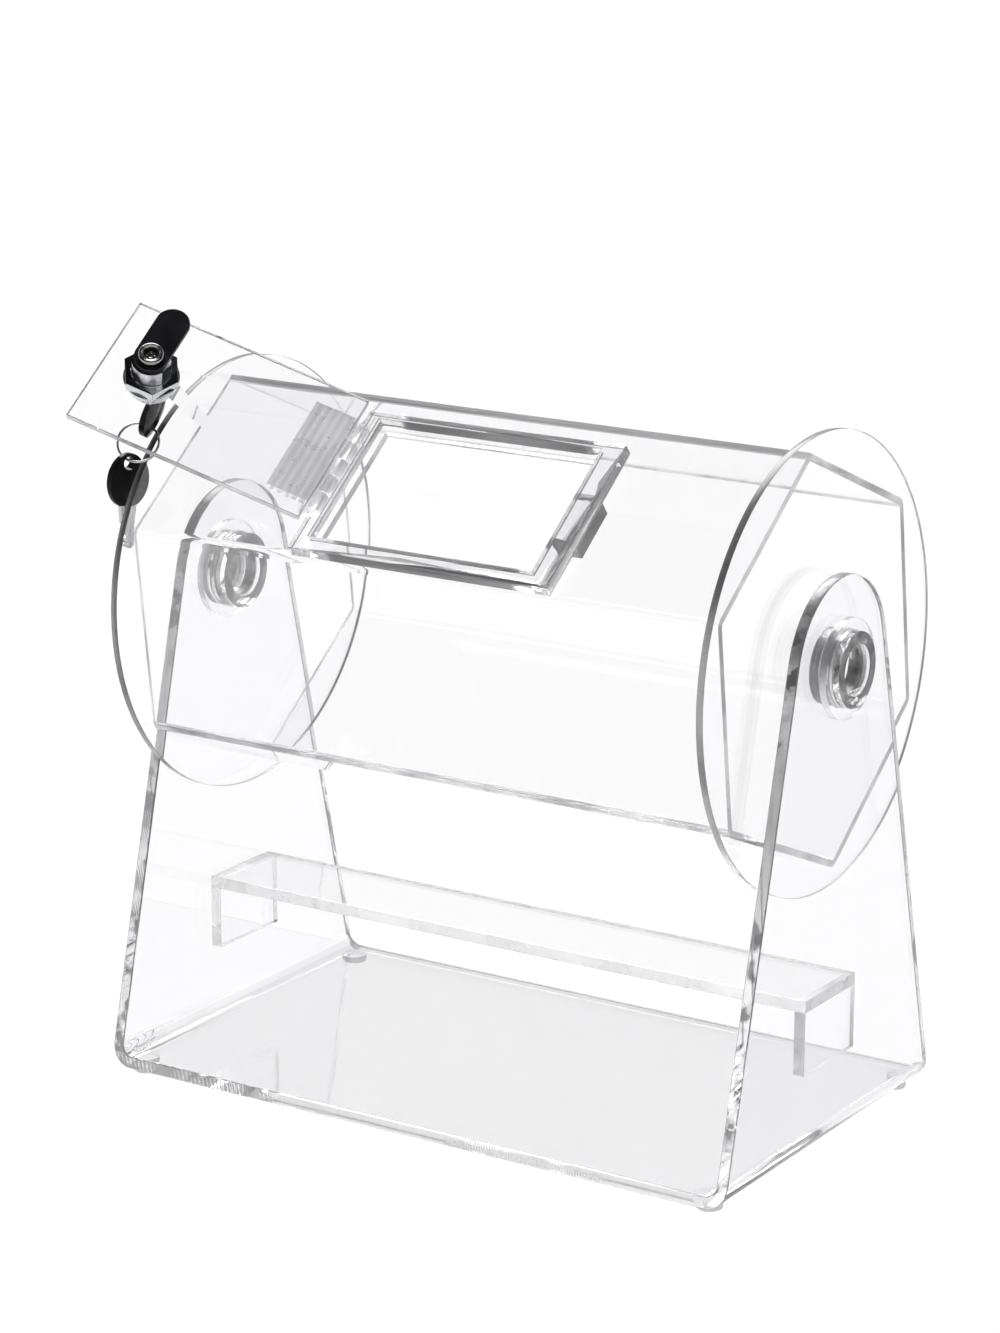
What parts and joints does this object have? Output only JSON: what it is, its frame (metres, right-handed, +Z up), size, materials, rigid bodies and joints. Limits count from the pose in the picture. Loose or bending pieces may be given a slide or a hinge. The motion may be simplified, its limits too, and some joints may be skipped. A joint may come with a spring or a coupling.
{
  "type": "raffle drum",
  "caption": "Clear six-sided raffle drum that turns in a folded sheet stand, with a hinged, lockable door held open and its keys on a ring.",
  "frame": {"origin": "centre of the base sheet's underside; the feet reach 3 mm below it", "axes": "+X along the drum's axis to the right, -Y to the front, +Z up"},
  "size_m": [0.3126, 0.2046, 0.3289],
  "materials": {
    "clear_acrylic": "clear cast acrylic, flame-polished edges that read grey",
    "hinge_plastic": "clear moulded plastic",
    "soft_foot": "clear soft bumper",
    "lock_chrome": "bright nickel-chrome plating",
    "cam_black": "black coated steel, satin",
    "key_plastic": "black moulded plastic, glossy",
    "key_steel": "nickel-plated steel"
  },
  "bodies": {
    "stand": {"stand_sheet": "clear_acrylic", "feet": "soft_foot", "brace_bar": "clear_acrylic", "brace_tab_left": "clear_acrylic", "brace_tab_right": "clear_acrylic"},
    "drum": {"drum_shell": "clear_acrylic", "end_disc_left": "clear_acrylic", "end_disc_right": "clear_acrylic", "hub_tube_left": "clear_acrylic", "hub_tube_right": "clear_acrylic", "flange_ring_left": "clear_acrylic", "flange_ring_right": "clear_acrylic", "door_frame": "clear_acrylic", "strike_block": "clear_acrylic", "hinge_frame_leaf": "hinge_plastic", "hinge_pin": "hinge_plastic"},
    "door": {"door_plate": "clear_acrylic", "hinge_door_leaf": "hinge_plastic", "lock_barrel": "lock_chrome", "lock_washer": "lock_chrome", "lock_nut": "lock_chrome", "key_head": "key_plastic", "key_blade": "key_steel"},
    "lock_core": {"lock_plug": "lock_chrome", "lock_cam": "cam_black", "cam_screw": "lock_chrome"},
    "ring": {"key_ring": "key_steel"},
    "spare_key": {"spare_key_head": "key_plastic", "spare_key_blade": "key_steel"}
  },
  "joints": [
    {"name": "drum_spin", "type": "hinge", "parent": "stand", "child": "drum", "pos_m": [0, 0, 0.2], "axis": [1, 0, 0], "range_deg": [-165, 60]},
    {"name": "door_hinge", "type": "hinge", "parent": "drum", "child": "door", "pos_m": [-0.053, -0.05435, 0.26449], "axis": [0, 0.7955, 0.606], "range_deg": [0, 155]},
    {"name": "lock_turn", "type": "hinge", "parent": "door", "child": "lock_core", "pos_m": [-0.12648, -0.08046, 0.29877], "axis": [0.4226, -0.5492, 0.7209], "range_deg": [0, 90]},
    {"name": "ring_swing", "type": "hinge", "parent": "door", "child": "ring", "pos_m": [-0.1411, -0.0628, 0.27336], "axis": [0.8904, 0.1522, -0.4289], "range_deg": [-7, 0]},
    {"name": "spare_key_swing", "type": "hinge", "parent": "ring", "child": "spare_key", "pos_m": [-0.14391, -0.0753, 0.26205], "axis": [0.9754, -0.2091, -0.0698], "range_deg": [-30, 15]}
  ]
}
